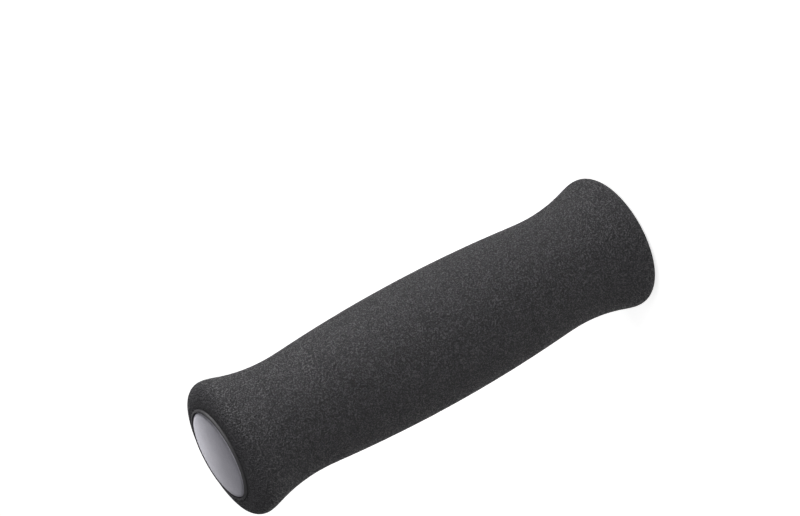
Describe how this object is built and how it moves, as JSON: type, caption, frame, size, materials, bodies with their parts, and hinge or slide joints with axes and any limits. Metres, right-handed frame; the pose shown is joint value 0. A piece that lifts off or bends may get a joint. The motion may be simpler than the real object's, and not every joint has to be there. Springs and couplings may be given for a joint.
{
  "type": "handlebar grip",
  "caption": "Waisted foam handlebar grip with flared ends, a through bore for the bar, and a push-in end plug with a gently domed metal face. It stands on its open end.",
  "frame": {"origin": "centre of the open end's flat face, which the grip stands on", "axes": "+Z along the bore from the open end to the plug; X and Y are any two directions across it"},
  "size_m": [0.039, 0.039, 0.1314],
  "materials": {
    "foam": "matt fine-grained closed-cell foam, charcoal",
    "plug_plastic": "satin black moulded plastic",
    "satin_metal": "satin silver"
  },
  "bodies": {
    "root": {"foam_sleeve": "foam", "end_plug": "plug_plastic", "plug_face": "satin_metal"}
  },
  "joints": []
}
